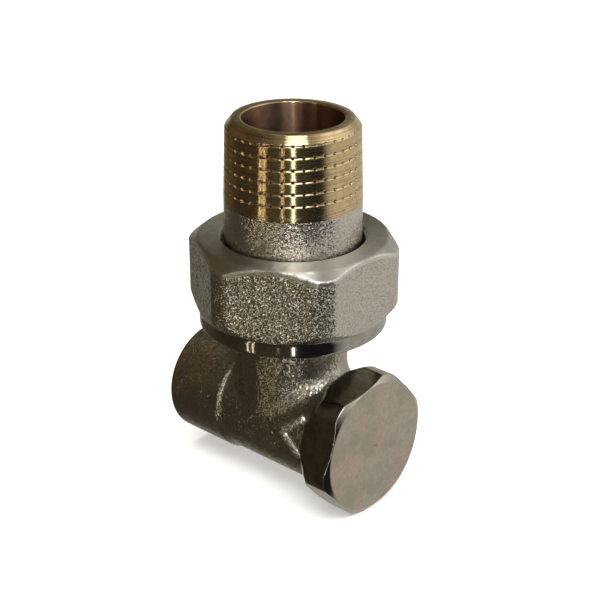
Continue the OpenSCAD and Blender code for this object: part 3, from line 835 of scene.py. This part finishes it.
def mark_distance(p, start, end):
    """Distance to a line just under the barrel's skin between two places."""
    a, b = [np.array((x, -BARREL_R * math.cos(math.radians(w)), BARREL_R * math.sin(math.radians(w))))
            for x, w in (start, end)]
    along = np.clip(((p - a) @ (b - a)) / ((b - a) @ (b - a)), 0, 1)
    middle = a + along[:, None] * (b - a)
    middle[:, 1:] *= ((BARREL_R - MARK_SUNK) / np.hypot(middle[:, 1], middle[:, 2]))[:, None]
    return np.linalg.norm(p - middle, axis=1)


def body_distance(p):
    """Distance from the skin of the forging for an array of points."""
    x, y, z = p[:, 0], p[:, 1], p[:, 2]
    from_axis = np.hypot(y, z)
    branch_axis = np.hypot(x - TAIL_X, y)
    f = np.clip((COLLAR_END - x) / COLLAR_FADE, 0, 1)
    barrel = from_axis - BARREL_R - (COLLAR_R - BARREL_R) * f * f * (3 - 2 * f)
    branch = np.maximum(branch_axis - BRANCH_R, -z)
    # the blend fades out at the sides, where both tubes are nearly flush
    flush = np.clip(y * y / (from_axis * branch_axis + 1e-6), 0, 1)
    blend = 4 * SADDLE_R * (1 - np.sqrt((1 + flush) / 2)) + 0.05
    skin = soft_join(barrel, branch, blend)
    for start, end in ARROW:
        skin = soft_join(skin, mark_distance(p, start, end) - MARK_R, MARK_SOFT)
    ends = np.maximum(-x, x - BARREL_END)
    return -soft_join(-skin, -np.maximum(ends, z - HEAD_Z), RIM_SOFT)


def apply_modifiers(obj):
    depsgraph = bpy.context.evaluated_depsgraph_get()
    mesh = bpy.data.meshes.new_from_object(obj.evaluated_get(depsgraph))
    old = obj.data
    obj.modifiers.clear()
    obj.data = mesh
    bpy.data.meshes.remove(old)


def draw_to_skin(blank, steps):
    """Even voxels, then every point moved onto the blended skin."""
    remesh = blank.modifiers.new("voxels", "REMESH")
    remesh.mode = "VOXEL"
    remesh.voxel_size = VOXEL * MM
    apply_modifiers(blank)
    mesh = blank.data
    flat = np.empty(len(mesh.vertices) * 3, dtype=np.float32)
    mesh.vertices.foreach_get("co", flat)
    p = flat.reshape(-1, 3).astype(float) / MM
    nudge = 0.01
    for _ in range(steps):
        d = body_distance(p)
        slope = np.stack([body_distance(p + nudge * axis) - d for axis in np.eye(3)], axis=1) / nudge
        p -= (d / np.maximum((slope ** 2).sum(axis=1), 0.25))[:, None] * slope
    mesh.vertices.foreach_set("co", (p * MM).astype(np.float32).ravel())
    mesh.update()


def body_blank():
    """The forging's outside: two plain tubes, drawn onto the blended skin twice for even faces."""
    points, faces = [], []
    for r, end, place in ((BARREL_R, BARREL_END, lying), (BRANCH_R, HEAD_Z, upright)):
        tube = Lathe(around(64))
        tube.profile([(AXIS_R, 0.0), (r, 0.0), (r, end), (AXIS_R, end)])
        tube.cap_ends()
        faces += [tuple(i + len(points) for i in face) for face in tube.faces]
        points += [place(*p) for p in tube.points]
    blank = mesh_object("valve_forging", points, faces)
    draw_to_skin(blank, 6)
    draw_to_skin(blank, 8)
    return blank


def carve(obj, tool, operation):
    cut = obj.modifiers.new("cut", "BOOLEAN")
    cut.operation, cut.solver, cut.object = operation, "MANIFOLD", tool
    apply_modifiers(obj)
    bpy.data.objects.remove(tool)


PIPE_R, PIPE_ROOT_R, PIPE_PITCH, PIPE_THREAD_END, PIPE_END = 7.475, 8.1, 1.337, 8.1, 8.563
PORT_R, PORT_X = 4.75, 10.2
SEAT_R, SEAT_X = 5.3, 13.06                  # the raised lip that the disc closes on
CHAMBER_R, CHAMBER_X, CHAMBER_END = 6.7, 12.6, 25.2
BONNET_R, BONNET_RECESS_R, BONNET_RECESS_X = 7.3, 7.6, 29.3
BRANCH_BORE_R, BRANCH_BORE_TOP = 5.9, 18.5
SOCKET_R, SOCKET_Z, SOCKET_TOP = 9.85, 21.1, 24.5    # takes the tailpiece's spigot
UNION_Z, UNION_NECK_R, UNION_TOP = 16.8, 8.55, 24.9
UNION_CONE = (11.67, 18.16)                  # radius and height at which the head's underside ends
UNION_THREAD_Z, UNION_THREAD_TOP, UNION_ROOT_R, UNION_CREST_R = 18.7, 24.1, 12.0675, 13.1675
PAST = 1.0                                   # how far a core reaches out of the metal


def pipe_core():
    """Everything drilled from the two ends of the barrel, with the pipe thread."""
    core = Lathe(around(96))
    core.profile([(AXIS_R, -PAST), (PIPE_R + 1.4, -PAST), (PIPE_R, 0.4), (PIPE_R, 0.7)])
    v_thread(core, 0.75, PIPE_THREAD_END, PIPE_PITCH, 0.0, PIPE_R, PIPE_ROOT_R, 0.2)
    core.profile([(PIPE_R, PIPE_END), (PORT_R, PORT_X), (PORT_R, SEAT_X), (SEAT_R, SEAT_X),
                  (SEAT_R, CHAMBER_X), (CHAMBER_R, CHAMBER_X), (CHAMBER_R, CHAMBER_END),
                  (BONNET_R, CHAMBER_END + 0.5), (BONNET_R, BONNET_RECESS_X),
                  (BONNET_RECESS_R, BONNET_RECESS_X), (BONNET_RECESS_R, BARREL_END + PAST),
                  (AXIS_R, BARREL_END + PAST)])
    core.cap_ends()
    return core.build("pipe_core", lying)


def branch_core():
    """The water's way up the branch and the socket for the spigot."""
    core = Lathe(around(96))
    core.profile([(AXIS_R, 0.0), (BRANCH_BORE_R, 0.0), (BRANCH_BORE_R, BRANCH_BORE_TOP),
                  (BORE_R, BRANCH_BORE_TOP + 1.4), (BORE_R, SOCKET_Z), (SOCKET_R, SOCKET_Z),
                  (SOCKET_R, SOCKET_TOP), (SOCKET_R + 1.4, UNION_TOP + PAST), (AXIS_R, UNION_TOP + PAST)])
    core.cap_ends()
    return core.build("branch_core", upright)


def union_head():
    """The threaded end of the branch, which the nut screws on."""
    head = Lathe(around(144, FACING))
    head.profile([(AXIS_R, UNION_Z), (UNION_NECK_R, UNION_Z), (UNION_NECK_R, UNION_Z + 0.35),
                  (UNION_NECK_R + 0.25, UNION_Z + 0.55), UNION_CONE, (UNION_ROOT_R, UNION_CONE[1] + 0.5)])
    v_thread(head, UNION_THREAD_Z, UNION_THREAD_TOP, PITCH, GROOVE_Z, UNION_ROOT_R, UNION_CREST_R,
             UNION_THREAD_Z)
    head.profile([(UNION_ROOT_R, UNION_TOP - 0.5), (UNION_ROOT_R - 0.5, UNION_TOP), (AXIS_R, UNION_TOP)])
    head.cap_ends()
    return head.build("union_head", upright)


def make_body():
    cast, machined, rubbed_glint = 0, 1, 2
    body = body_blank()
    carve(body, union_head(), "UNION")
    carve(body, pipe_core(), "DIFFERENCE")
    carve(body, branch_core(), "DIFFERENCE")
    body.data.materials.clear()
    for material in (BODY_BLASTED_SHADED, TURNED, MARK):
        body.data.materials.append(material)
    mesh = body.data
    centres = np.empty(len(mesh.polygons) * 3, dtype=np.float32)
    mesh.polygons.foreach_get("center", centres)
    centres = centres.reshape(-1, 3).astype(float) / MM
    is_machined = (body_distance(centres) < -0.12) | (centres[:, 2] > HEAD_Z + 0.3)
    # the arrow's faces take the brighter colour: wear and a painted glint
    is_rubbed_glint = np.min([mark_distance(centres, *line) for line in ARROW], axis=0) < MARK_R + 0.03
    index = np.where(is_machined, machined, np.where(is_rubbed_glint, rubbed_glint, cast))
    mesh.polygons.foreach_set("material_index", index.astype(np.int32))
    shade(body, 32)
    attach(body, "valve")
    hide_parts("valve_body")


make_body()

# Materials of the CAD nodes that show as they are
LOOKS = [(BRASS_TURNED, ("bonnet", "spindle", "disc_screw")),
         (STEEL, ("disc_washer",)),
         (FIBRE, ("cap_ring",)),
         (RUBBER, ("bonnet_ring", "spindle_ring_inner", "spindle_ring_outer", "seat_disc", "union_ring"))]
for material, names in LOOKS:
    for name in names:
        nodes[name].data.materials.clear()
        nodes[name].data.materials.append(material)
